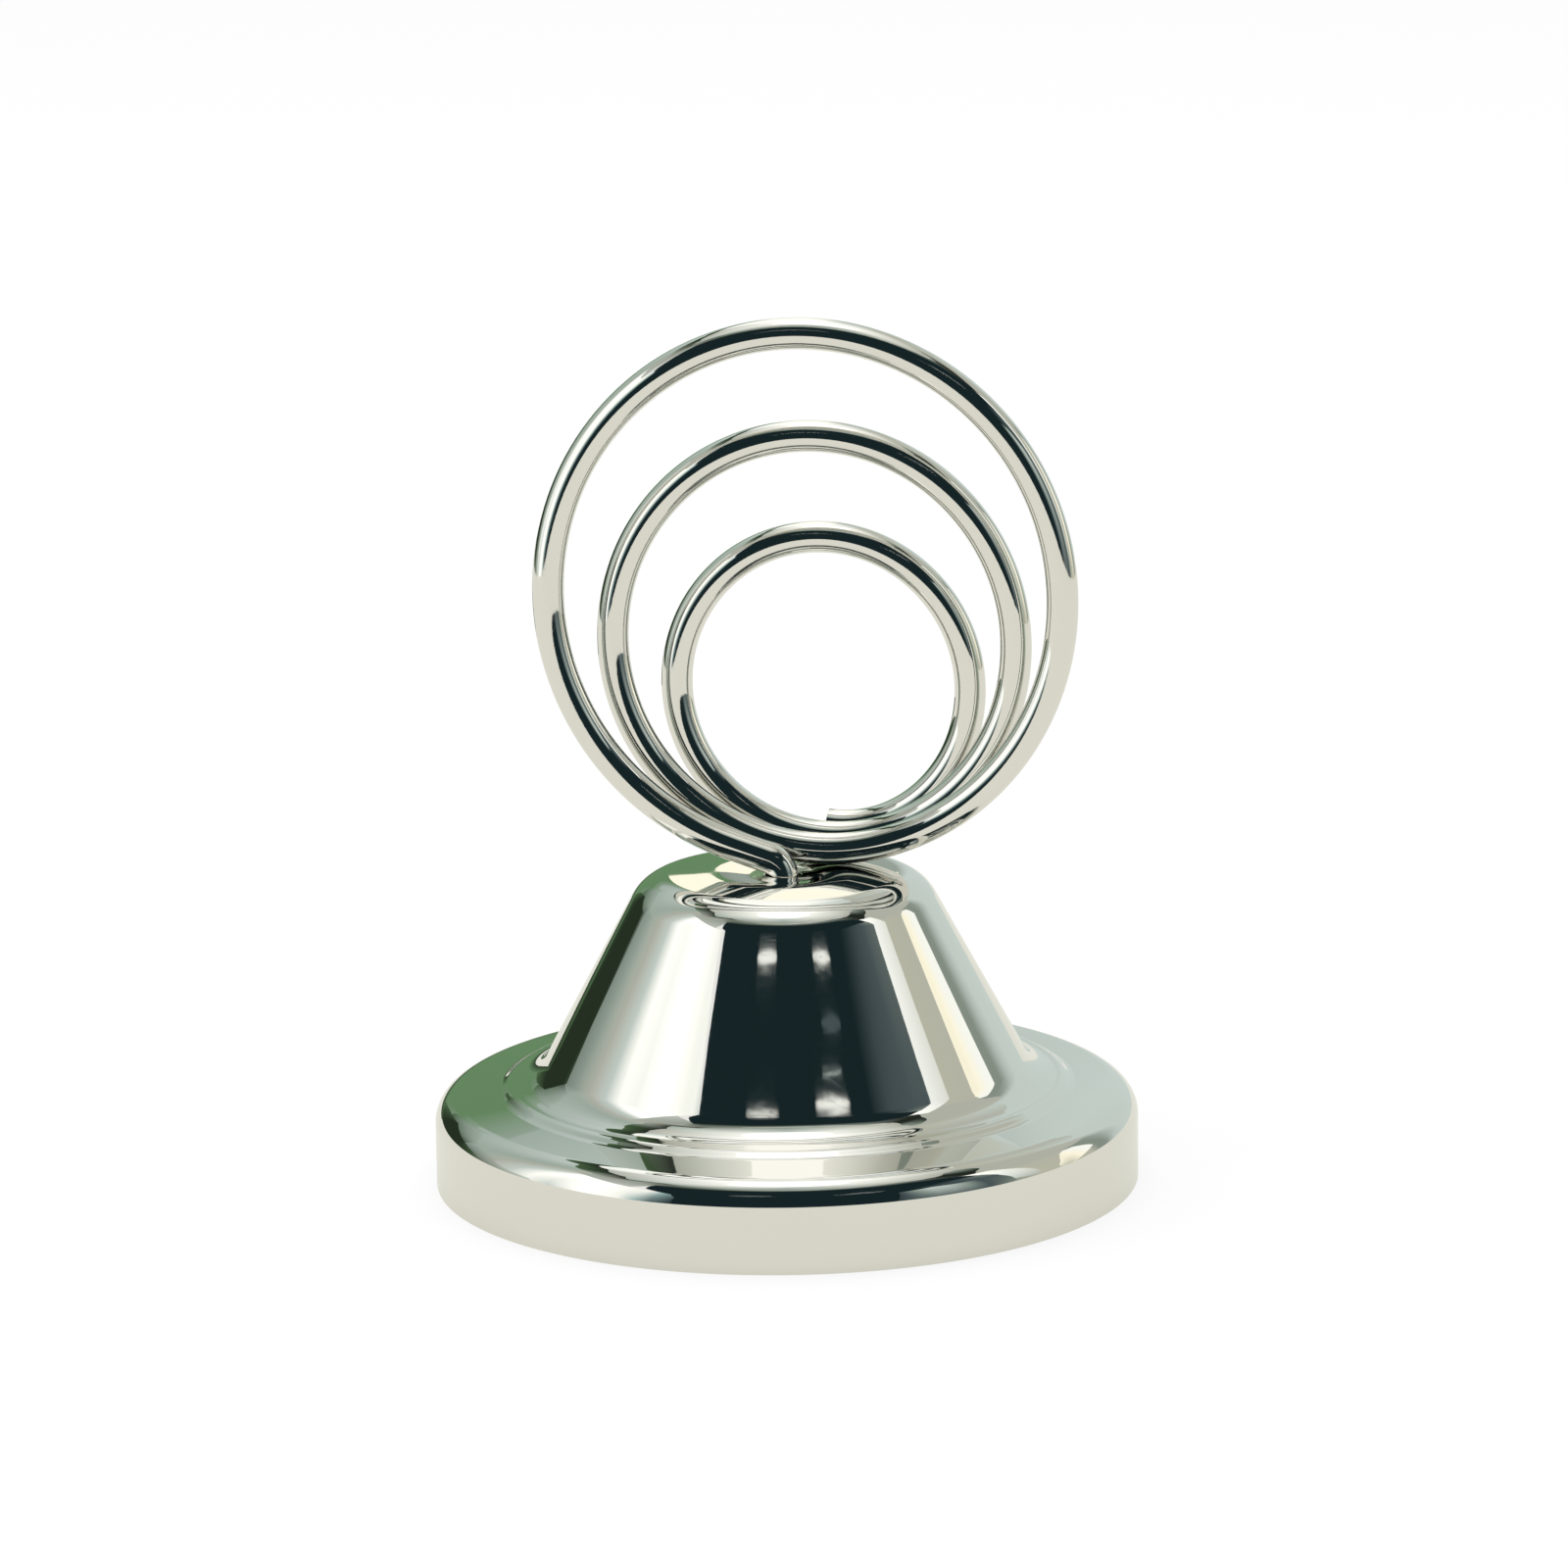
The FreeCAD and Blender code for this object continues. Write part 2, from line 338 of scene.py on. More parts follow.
@dataclass
class Effect:
    """Shader node group with named inputs and outputs."""

    name: str

    def start(self, inputs: dict[str, object], outputs: dict[str, str]) -> tuple[Wiring, dict, dict]:
        """Makes the group with its sockets.

        Args:
            inputs: Name and default of each input; a tuple makes a colour input.
            outputs: Name and socket type of each output.

        Returns:
            The group's wiring, its inputs by name and its outputs by name.
        """
        tree = bpy.data.node_groups.new(self.name, "ShaderNodeTree")
        for label, default in inputs.items():
            kind = "NodeSocketColor" if isinstance(default, tuple) else "NodeSocketFloat"
            socket = tree.interface.new_socket(label, in_out="INPUT", socket_type=kind)
            socket.default_value = (*default, 1.0) if isinstance(default, tuple) else default
        for label, kind in outputs.items():
            tree.interface.new_socket(label, in_out="OUTPUT", socket_type=kind)
        wiring = Wiring(tree)
        entry = tree.nodes.new("NodeGroupInput")
        leave = tree.nodes.new("NodeGroupOutput")
        given = {label: entry.outputs[label] for label in inputs}
        results = {label: leave.inputs[label] for label in outputs}
        return wiring, given, results


def plating_ripple() -> bpy.types.NodeTree:
    """Fine orange peel of a bright plated surface, over the slow waves of the pressed metal.

    Returns:
        A group that gives Height, from 0 to 1.
    """
    inputs = {"Peel Size": 0.0012, "Wave Size": 0.006, "Wave Share": 0.6}
    wiring, given, results = Effect("plating ripple").start(inputs, {"Height": "NodeSocketFloat"})
    place = wiring.add("TexCoord").outputs["Object"]
    peel = wiring.noise(given["Peel Size"], 1.0, place)
    wave = wiring.noise(given["Wave Size"], 0.0, place)
    mix = wiring.add("Mix", data_type="FLOAT")
    wiring.join(given["Wave Share"], mix.inputs["Factor"])
    wiring.join(peel, mix.inputs["A"])
    wiring.join(wave, mix.inputs["B"])
    wiring.join(mix.outputs["Result"], results["Height"])
    return wiring.tree


def tone_drift() -> bpy.types.NodeTree:
    """Slow drift between the warm and the cool tone of a plated or bare metal.

    Returns:
        A group that gives Colour.
    """
    inputs = {"Warm Tone": (0.8, 0.8, 0.8), "Cool Tone": (0.8, 0.8, 0.8), "Drift Size": 0.01}
    wiring, given, results = Effect("tone drift").start(inputs, {"Colour": "NodeSocketColor"})
    place = wiring.add("TexCoord").outputs["Object"]
    mix = wiring.add("Mix", data_type="RGBA")
    wiring.join(wiring.noise(given["Drift Size"], 2.0, place), mix.inputs["Factor"])
    wiring.join(given["Warm Tone"], mix.inputs["A"])
    wiring.join(given["Cool Tone"], mix.inputs["B"])
    wiring.join(mix.outputs["Result"], results["Colour"])
    return wiring.tree


def handling_marks() -> bpy.types.NodeTree:
    """Hairline scratches that a polished surface picks up in handling.

    Returns:
        A group that gives Marks, 1 inside a scratch.
    """
    inputs = {"Spacing": 0.004, "Amount": 0.5}
    wiring, given, results = Effect("handling marks").start(inputs, {"Marks": "NodeSocketFloat"})
    place = wiring.add("TexCoord").outputs["Object"]
    stretch = wiring.add("Mapping")
    stretch.inputs["Rotation"].default_value = SCRATCH_TURN
    stretch.inputs["Scale"].default_value = SCRATCH_STRETCH
    wiring.join(place, stretch.inputs["Vector"])
    streak = wiring.noise(given["Spacing"], 2.0, stretch.outputs["Vector"])
    away = wiring.maths("ABSOLUTE", wiring.maths("SUBTRACT", streak, 0.5))
    line = wiring.maths("SUBTRACT", 1.0, wiring.maths("MULTIPLY", away, SCRATCH_SHARPNESS))
    kept = wiring.maths("MAXIMUM", line, 0.0)
    wiring.join(wiring.maths("MULTIPLY", kept, given["Amount"]), results["Marks"])
    return wiring.tree


def dust_film() -> bpy.types.NodeTree:
    """Faint dust that settles on what faces up.

    Returns:
        A group that gives Dust, from 0 to 1.
    """
    inputs = {"Speck Size": 0.0005, "Amount": 0.2}
    wiring, given, results = Effect("dust film").start(inputs, {"Dust": "NodeSocketFloat"})
    place = wiring.add("TexCoord").outputs["Object"]
    speck = wiring.noise(given["Speck Size"], 3.0, place)
    grains = wiring.maths("MAXIMUM", wiring.maths("SUBTRACT", speck, SPECK_LEVEL), 0.0)
    facing = wiring.add("SeparateXYZ")
    wiring.join(wiring.add("NewGeometry").outputs["Normal"], facing.inputs["Vector"])
    upward = wiring.maths("MAXIMUM", facing.outputs["Z"], 0.0)
    settled = wiring.maths("MULTIPLY", wiring.maths("MULTIPLY", grains, SPECK_CONTRAST), upward)
    wiring.join(wiring.maths("MULTIPLY", settled, given["Amount"]), results["Dust"])
    return wiring.tree


@dataclass(frozen=True)
class Effects:
    """The shader effects, built once and placed in each material with its own values."""

    ripple: bpy.types.NodeTree
    tone: bpy.types.NodeTree
    marks: bpy.types.NodeTree
    dust: bpy.types.NodeTree

    @classmethod
    def build(cls) -> "Effects":
        """Builds every effect."""
        return cls(plating_ripple(), tone_drift(), handling_marks(), dust_film())


# Finishes


@dataclass(frozen=True)
class MetalFinish:
    """Finish of one metal surface: tone, gloss, ripple, hairlines and dust."""

    name: str
    warm_tone: Colour
    cool_tone: Colour
    roughness: float
    peel_size: float
    wave_size: float
    wave_share: float
    ripple_height: float
    marks: float = 0.3
    dust: float = 0.15
    mark_roughness: float = 0.12
    dust_roughness: float = 0.3
    drift_size: float = 8 * MM

    def build(self, effects: Effects) -> bpy.types.Material:
        """Builds the material.

        Args:
            effects: The shared shader effects.

        Returns:
            The new material.
        """
        material = bpy.data.materials.new(self.name)
        material.use_nodes = True
        wiring = Wiring(material.node_tree)
        shader = material.node_tree.nodes["Principled BSDF"]
        shader.inputs["Metallic"].default_value = 1.0
        tone = self.place(wiring, effects.tone, {"Drift Size": self.drift_size})
        tone.inputs["Warm Tone"].default_value = (*self.warm_tone, 1.0)
        tone.inputs["Cool Tone"].default_value = (*self.cool_tone, 1.0)
        marks = self.place(wiring, effects.marks, {"Amount": self.marks})
        dust = self.place(wiring, effects.dust, {"Amount": self.dust})
        spread = wiring.maths("MULTIPLY", marks.outputs["Marks"], self.mark_roughness)
        film = wiring.maths("MULTIPLY", dust.outputs["Dust"], self.dust_roughness)
        gloss = wiring.maths("ADD", self.roughness, wiring.maths("ADD", spread, film))
        wiring.join(gloss, shader.inputs["Roughness"])
        wiring.join(tone.outputs["Colour"], shader.inputs["Base Color"])
        ripple = self.place(
            wiring,
            effects.ripple,
            {"Peel Size": self.peel_size, "Wave Size": self.wave_size, "Wave Share": self.wave_share},
        )
        bump = wiring.add("Bump")
        bump.inputs["Distance"].default_value = self.ripple_height
        wiring.join(ripple.outputs["Height"], bump.inputs["Height"])
        wiring.join(bump.outputs["Normal"], shader.inputs["Normal"])
        return material

    def place(self, wiring: Wiring, effect: bpy.types.NodeTree, values: dict[str, float]) -> bpy.types.Node:
        """Places a shared effect in this material.

        Args:
            wiring: Wiring of the material's tree.
            effect: The effect's node group.
            values: Input names and this material's values.

        Returns:
            The group node.
        """
        node = wiring.add("Group", node_tree=effect)
        for label, value in values.items():
            node.inputs[label].default_value = value
        return node


BRIGHT_SHEET_NICKEL = MetalFinish(
    name="bright nickel on pressed sheet",
    warm_tone=(0.815, 0.8, 0.755),
    cool_tone=(0.795, 0.79, 0.76),
    roughness=0.026,
    peel_size=1.3 * MM,
    wave_size=5.0 * MM,
    wave_share=0.5,
    ripple_height=0.0016 * MM,
    marks=0.14,
    dust=0.06,
)
DULL_INSIDE_NICKEL = MetalFinish(
    name="thin dull nickel inside the bell",
    warm_tone=(0.66, 0.64, 0.6),
    cool_tone=(0.6, 0.6, 0.585),
    roughness=0.28,
    peel_size=0.5 * MM,
    wave_size=3.0 * MM,
    wave_share=0.5,
    ripple_height=0.02 * MM,
    marks=1.0,
)
WIRE_NICKEL = MetalFinish(
    name="bright nickel on drawn wire",
    warm_tone=(0.82, 0.8, 0.75),
    cool_tone=(0.8, 0.79, 0.76),
    roughness=0.045,
    peel_size=0.7 * MM,
    wave_size=3.5 * MM,
    wave_share=0.6,
    ripple_height=0.004 * MM,
)
WASHER_STEEL = MetalFinish(
    name="plain punched steel",
    warm_tone=(0.62, 0.615, 0.59),
    cool_tone=(0.58, 0.585, 0.58),
    roughness=0.36,
    peel_size=0.3 * MM,
    wave_size=1.5 * MM,
    wave_share=0.4,
    ripple_height=0.015 * MM,
    marks=1.0,
)


# Sub-assemblies


@dataclass
class BellBase:
    """Bell base: rim, shoulder, flange, step ring, cone and crown in one pressed sheet."""

    rim_radius: float
    hole_level: float
    rim_height: float = 5.65 * MM
    rim_inside_radius: float = 1.1 * MM
    flange_slope: float = math.radians(7.0)
    flange_width: float = 6.5 * MM
    step_width: float = 0.55 * MM
    step_height: float = 0.4 * MM
    step_inside_radius: float = 0.2 * MM
    ledge_width: float = 0.3 * MM
    foot_radius: float = 2.7 * MM
    cone_spread: float = 7.07 * MM
    crown_corner_rise: float = 0.03 * MM
    crown_inside_radius: float = 2.2 * MM
    crest_radius: float = 4.1 * MM
    crest_rise: float = 0.21 * MM
    crest_round: float = 10 * MM
    pit_radius: float = 2.3 * MM
    pit_round: float = 4 * MM
    sheet: float = 0.7 * MM
    hole_radius: float = 1.15 * MM
    edge_round: float = 0.09 * MM
    facet: float = math.radians(4.0)
    around: int = 288

    def outside_corners(self) -> list[Corner]:
        """Corners of the outside, from the foot of the rim to the rim of the wire hole."""
        foot_out = self.rim_radius - self.flange_width
        crown_out = foot_out - self.cone_spread
        crown_height = self.hole_level + self.crown_corner_rise
        slope = math.tan(self.flange_slope)
        lean = math.atan2(self.cone_spread, crown_height - self.rim_height)
        foot_turn = math.radians(90.0) - self.flange_slope - lean
        step_inner = foot_out + self.foot_radius * math.tan(foot_turn / 2) + self.ledge_width
        step_outer = step_inner + self.step_width
        step_low = self.rim_height + (self.rim_radius - step_outer) * slope
        step_high = step_low + self.step_height
        foot_level = step_high + (step_inner - foot_out) * slope
        step_round = self.step_inside_radius + self.sheet
        return [
            Corner(self.rim_radius, 0.0, self.edge_round),
            Corner(self.rim_radius, self.rim_height, self.rim_inside_radius + self.sheet),
            Corner(step_outer, step_low, step_round),
            Corner(step_inner, step_high, step_round),
            Corner(foot_out, foot_level, self.foot_radius),
            Corner(crown_out, crown_height, self.crown_inside_radius + self.sheet),
            Corner(self.crest_radius, self.hole_level + self.crest_rise, self.crest_round),
            Corner(self.pit_radius, self.hole_level, self.pit_round),
            Corner(self.hole_radius, self.hole_level, self.edge_round),
        ]

    def inside_corners(self, outside: list[Corner]) -> list[Corner]:
        """Corners one sheet further in, in the opposite order.

        Args:
            outside: Corners of the outside, its two ends among them.

        Returns:
            Corners of the inside, from the wire hole to the foot of the rim.
        """
        corners = [Corner(self.rim_radius - self.sheet, 0.0, self.edge_round, Side.INSIDE)]
        for before, corner, after in zip(outside, outside[1:], outside[2:]):
            coming = outward((corner.place - before.place).normalized())
            going = outward((after.place - corner.place).normalized())
            place = corner.place - (coming + going) * self.sheet / (1.0 + coming.dot(going))
            convex = coming.x * going.y - coming.y * going.x > 0.0
            radius = corner.radius - self.sheet if convex else corner.radius + self.sheet
            corners.append(Corner(place.x, place.y, radius, Side.INSIDE))
        corners.append(Corner(self.hole_radius, self.hole_level - self.sheet, self.edge_round, Side.INSIDE))
        return corners[::-1]

    def build(self, outside: bpy.types.Material, inside: bpy.types.Material) -> bpy.types.Object:
        """Builds the bell.

        Args:
            outside: Finish of the outside.
            inside: Finish of the inside.

        Returns:
            The piece that stands for base_shell.
        """
        outer = self.outside_corners()
        section = rounded_section(outer + self.inside_corners(outer), True, self.facet)
        piece = turned_skin("bell_base", section, self.around).make([outside, inside])
        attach(piece, "root")
        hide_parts("base_shell")
        return piece


@dataclass
class WireClip:
    """Wire clip: peened tail, leg through the crown, knuckle and three shrinking turns."""

    crown_floor: float
    wire_radius: float = 1.0 * MM
    tail_low: float = 17.75 * MM
    head_height: float = 0.8 * MM
    head_radius: float = 1.7 * MM
    head_round: float = 0.6 * MM
    head_edge: float = 0.06 * MM
    head_facet: float = math.radians(8.0)
    hammer_unevenness: float = 0.04
    hammer_mark: float = 0.9 * MM
    bend_depth: float = 0.24 * MM
    knuckle_inside_radius: float = 0.35 * MM
    strand_clearance: float = 0.21 * MM
    first_turn_width: float = 35.9 * MM
    first_turn_height: float = 37.1 * MM
    start_angle: float = 252.0
    sweep_angle: float = 1070.0
    shrink: float = 3.47 * MM
    turn_rise: float = 0.28 * MM
    drift: float = 0.32 * MM
    turn_gap: float = 0.1 * MM
    end_round: float = 0.25 * MM
    end_facet: float = math.radians(12.0)
    around: int = 40
    steps_per_turn: int = 160
    knuckle_steps: int = 24

    def turn_point(self, turns: float) -> Vector:
        """Centre of the wire after this many turns from the bottom of the first one."""
        angle = -math.radians(90.0) - FULL_TURN * turns
        radius = self.first_turn_width / 2 - self.shrink * turns
        oval = self.first_turn_height / self.first_turn_width
        drop = oval * self.shrink - self.turn_rise
        return Vector(
            (
                self.drift * turns + radius * math.cos(angle),
                (2 * self.wire_radius + self.turn_gap) * turns,
                -drop * turns + oval * radius * math.sin(angle),
            )
        )

    def turn_direction(self, turns: float) -> Vector:
        """Direction of the wire at this place of the turns."""
        nudge = 1e-4
        return (self.turn_point(turns + nudge) - self.turn_point(turns - nudge)).normalized()

    def centre_line(self) -> list[tuple[Vector, Vector]]:
        """Places and directions of the wire's centre, from the washer to the cut end."""
        up = Vector((0.0, 0.0, 1.0))
        first = (270.0 - self.start_angle) / 360.0
        ahead = self.turn_direction(first)
        bend = up.angle(ahead)
        bend_radius = self.knuckle_inside_radius + self.wire_radius
        tangent = bend_radius * math.tan(bend / 2)
        leg_top = up * (self.crown_floor - self.bend_depth)
        corner = leg_top + up * tangent
        fall = self.turn_point(first).z - self.turn_point(1.0).z
        lowest = self.crown_floor + self.strand_clearance + self.wire_radius
        lead_end = corner + ahead * ((lowest + fall - corner.z) / ahead.z)
        sideways = (ahead - up * ahead.dot(up)).normalized()
        line = [(up * (self.tail_low + self.head_height), up)]
        for step in range(self.knuckle_steps + 1):
            turned = bend * step / self.knuckle_steps
            offset = sideways * (1.0 - math.cos(turned)) + up * math.sin(turned)
            direction = up * math.cos(turned) + sideways * math.sin(turned)
            line.append((leg_top + offset * bend_radius, direction))
        origin = lead_end - self.turn_point(first)
        sweep = self.sweep_angle / 360.0
        count = round(sweep * self.steps_per_turn)
        for step in range(count + 1):
            turns = first + sweep * step / count
            line.append((origin + self.turn_point(turns), self.turn_direction(turns)))
        return line

    def ring(self, centre: Vector, frame: Matrix, point: SectionPoint) -> tuple[list[Vector], list[Vector]]:
        """Ring of a section point about the wire's own axis.

        Args:
            centre: Place of the wire's centre.
            frame: Columns across, along the bend and ahead.
            point: Distance from the centre and step ahead, with the normal.

        Returns:
            The ring's places and its normals.
        """
        places, normals = turned_ring(point, self.around)
        return [centre + frame @ place for place in places], [frame @ normal for normal in normals]

    def tail_head(self, skin: Skin) -> None:
        """Draws the peened head under the washer, slightly uneven as a hammered end is.

        Args:
            skin: Skin of the wire, still empty.
        """
        high = self.tail_low + self.head_height
        corners = [
            Corner(0.0, self.tail_low),
            Corner(self.head_radius, self.tail_low, self.head_round),
            Corner(self.head_radius, high, self.head_edge),
            Corner(self.wire_radius, high),
        ]
        section = rounded_section(corners, False, self.head_facet)
        last = skin.ring([section[0].place.to_3d().xzy], [Vector((0.0, 0.0, -1.0))])
        for point in section[1:]:
            places, normals = turned_ring(point, self.around)
            depth = max(0.0, 1.0 - (point.place.y - self.tail_low) / self.head_height)
            for place in places:
                lump = 0.5 + noise.noise(place / self.hammer_mark)
                shrunk = 1.0 - self.hammer_unevenness * depth * lump
                place.x *= shrunk
                place.y *= shrunk
            ring = skin.ring(places, normals)
            skin.join(last, ring)
            last = ring

    def build(self, finish: bpy.types.Material) -> bpy.types.Object:
        """Builds the wire.

        Args:
            finish: Finish of the wire.

        Returns:
            The piece that stands for wire_clip.
        """
        skin = Skin("wire_clip_wound")
        self.tail_head(skin)
        side_point = SectionPoint(Vector((self.wire_radius, 0.0)), Vector((1.0, 0.0)), Side.OUTSIDE)
        line = self.centre_line()
        ahead = line[0][1]
        frame = Matrix.Identity(3)
        last: list[int] = []
        for place, direction in line:
            frame = (ahead.rotation_difference(direction).to_matrix() @ frame).normalized()
            ahead = direction
            ring = skin.ring(*self.ring(place, frame, side_point))
            if last:
                skin.join(last, ring)
            last = ring
        cut = [
            Corner(self.wire_radius, -self.end_round),
            Corner(self.wire_radius, 0.0, self.end_round),
            Corner(0.0, 0.0),
        ]
        rounded = rounded_section(cut, False, self.end_facet)
        for point in rounded[1:-1]:
            ring = skin.ring(*self.ring(place, frame, point))
            skin.join(last, ring)
            last = ring
        skin.join(last, skin.ring([place], [direction]))
        piece = skin.make([finish])
        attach(piece, "root")
        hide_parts("wire_clip")
        return piece


@dataclass
class BackingWasher:
    """Punched washer that the peened tail pulls against the underside of the crown."""

    crown_underside: float
    radius: float = 3.25 * MM
    bore_radius: float = 1.15 * MM
    thickness: float = 0.6 * MM
    edge: float = 0.15 * MM
    bore_edge: float = 0.04 * MM
    facet: float = math.radians(15.0)
    around: int = 96

    def build(self, finish: bpy.types.Material) -> bpy.types.Object:
        """Builds the washer.

        Args:
            finish: Finish of the washer.

        Returns:
            The piece that stands for backing_washer.
        """
        low = self.crown_underside - self.thickness
        corners = [
            Corner(self.bore_radius, low, self.bore_edge),
            Corner(self.radius, low, self.edge),
            Corner(self.radius, self.crown_underside, self.edge),
            Corner(self.bore_radius, self.crown_underside, self.bore_edge),
        ]
        section = rounded_section(corners, True, self.facet)
        piece = turned_skin("washer_under_crown", section, self.around).make([finish])
        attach(piece, "root")
        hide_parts("backing_washer")
        return piece


# Studio

# Each lamp's name, place and width in metres, and power in watts
LAMPS = (
    ("lamp_overhead", (0.0, 0.15, 0.9), 0.8, 4.0),
    ("lamp_left", (-0.8, -0.3, 0.5), 0.6, 2.0),
)
SMALL_LAMP_DISTANCE = 0.318
SMALL_LAMP_SHARES = (-1.0, -0.8, -0.4, 0.0, 0.4, 0.8, 1.0)
MIRROR_BOW = 0.0018  # degrees of elevation for each square degree of azimuth


@dataclass(frozen=True)
class Station:
    """Upright of a studio card: azimuth, lower and upper edge in degrees, and the light it gives."""

    azimuth: float
    low: float
    high: float
    light: Colour
    high_light: Colour | None = None


@dataclass(frozen=True)
class StudioCard:
    """Curved card or softbox round the part, seen only as a reflection in its metal.

    Azimuth 0 is on the camera's side and grows to the right of the picture.
    """

    name: str
    stations: tuple[Station, ...]
    distance: float
    step: float = 3.0
    rows: int = 14

    def direction(self, azimuth: float, elevation: float, turn: float) -> Vector:
        """Unit vector from the part to a place on the card."""
        around = math.radians(azimuth) + turn
        rise = math.radians(elevation)
        return Vector((math.sin(around) * math.cos(rise), -math.cos(around) * math.cos(rise), math.sin(rise)))

    def rail(self) -> list[Station]:
        """The stations with more of them set evenly in between."""
        uprights = []
        for near, far in zip(self.stations, self.stations[1:]):
            count = max(1, math.ceil(abs(far.azimuth - near.azimuth) / self.step))
            for index in range(count):
                uprights.append(blend_stations(near, far, index / count))
        return uprights + [self.stations[-1]]

    def build(self, turn: float, material: bpy.types.Material) -> bpy.types.Object:
        """Builds the card.

        Args:
            turn: Azimuth of the camera, which the card's own azimuths start from.
            material: Material that gives the card's painted light.

        Returns:
            The card, hidden from the camera, from diffuse light and from shadows.
        """
        uprights = self.rail()
        points, lights, faces = [], [], []
        for upright in uprights:
            for row in range(self.rows + 1):
                share = row / self.rows
                rise = upright.low + (upright.high - upright.low) * share
                points.append(self.direction(upright.azimuth, rise, turn) * self.distance)
                top = upright.high_light or upright.light
                lights += [*Vector(upright.light).lerp(Vector(top), share), 1.0]
        for column in range(len(uprights) - 1):
            for row in range(self.rows):
                near = column * (self.rows + 1) + row
                far = near + self.rows + 1
                faces.append((near, far, far + 1, near + 1))
        mesh = bpy.data.meshes.new(self.name)
        mesh.from_pydata(points, [], faces)
        mesh.color_attributes.new("card_light", "FLOAT_COLOR", "POINT").data.foreach_set("color", lights)
        mesh.materials.append(material)
        card = bpy.data.objects.new(self.name, mesh)
        bpy.context.scene.collection.objects.link(card)
        card.visible_camera = False
        card.visible_diffuse = False
        card.visible_shadow = False
        return card


def blend_stations(near: Station, far: Station, share: float) -> Station:
    """Station between two others.

    Args:
        near: Station at share 0.
        far: Station at share 1.
        share: How far along.

    Returns:
        The station in between.
    """

    def between(first: float, second: float) -> float:
        """Value between two numbers."""
        return first + (second - first) * share

    near_top = near.high_light or near.light
    far_top = far.high_light or far.light
    return Station(
        between(near.azimuth, far.azimuth),
        between(near.low, far.low),
        between(near.high, far.high),
        tuple(Vector(near.light).lerp(Vector(far.light), share)),
        tuple(Vector(near_top).lerp(Vector(far_top), share)),
    )


def studio_card(name: str, distance: float, *uprights: tuple) -> StudioCard:
    """Studio card from plain uprights.

    Args:
        name: Name of the card.
        distance: How far from the part it stands, in metres.
        *uprights: Azimuth, low edge, high edge, light and, where it changes upwards, the light at the top.

    Returns:
        The card.
    """
    return StudioCard(name, tuple(Station(*upright) for upright in uprights), distance)


def small_lamp(
    name: str, azimuth: float, elevation: float, reach: tuple[float, float], light: Colour
) -> StudioCard:
    """Small round lamp in front of the cards.

    A cone mirrors a level row of lights as a bow, so the lamp is bent the other way and looks round in it.

    Args:
        name: Name of the lamp's card.
        azimuth: Azimuth of its middle, in degrees.
        elevation: Elevation of its middle, in degrees.
        reach: Half of its width and half of its height, in degrees.
        light: The light it gives.

    Returns:
        The card.
    """
    across, rise = reach
    stations = []
    for share in SMALL_LAMP_SHARES:
        half = rise * math.sqrt(1.0 - share * share)
        place = azimuth + across * share
        middle = elevation + MIRROR_BOW * (azimuth * azimuth - place * place)
        stations.append(Station(place, middle - half, middle + half, light))
    return StudioCard(name, tuple(stations), SMALL_LAMP_DISTANCE)


WHITE = (1.45, 1.45, 1.42)
SOFT_WHITE = (1.15, 1.17, 1.12)
CREAM = (1.2, 1.15, 0.93)
BEIGE = (0.57, 0.575, 0.48)
STONE = (0.52, 0.54, 0.48)
DAYLIGHT_GREY = (0.64, 0.73, 0.7)
MIST_GREY = (0.4, 0.49, 0.44)
SKY_GREY = (0.36, 0.53, 0.53)
GREEN_GREY = (0.28, 0.33, 0.29)
LEAF_GREEN = (0.15, 0.28, 0.14)
DEEP_GREEN = (0.07, 0.13, 0.06)
GREEN_BLACK = (0.022, 0.036, 0.021)
FRAME_BLACK = (0.02, 0.026, 0.02)
BLUE_BLACK = (0.01, 0.022, 0.026)
BLUE_GREY = (0.075, 0.105, 0.115)

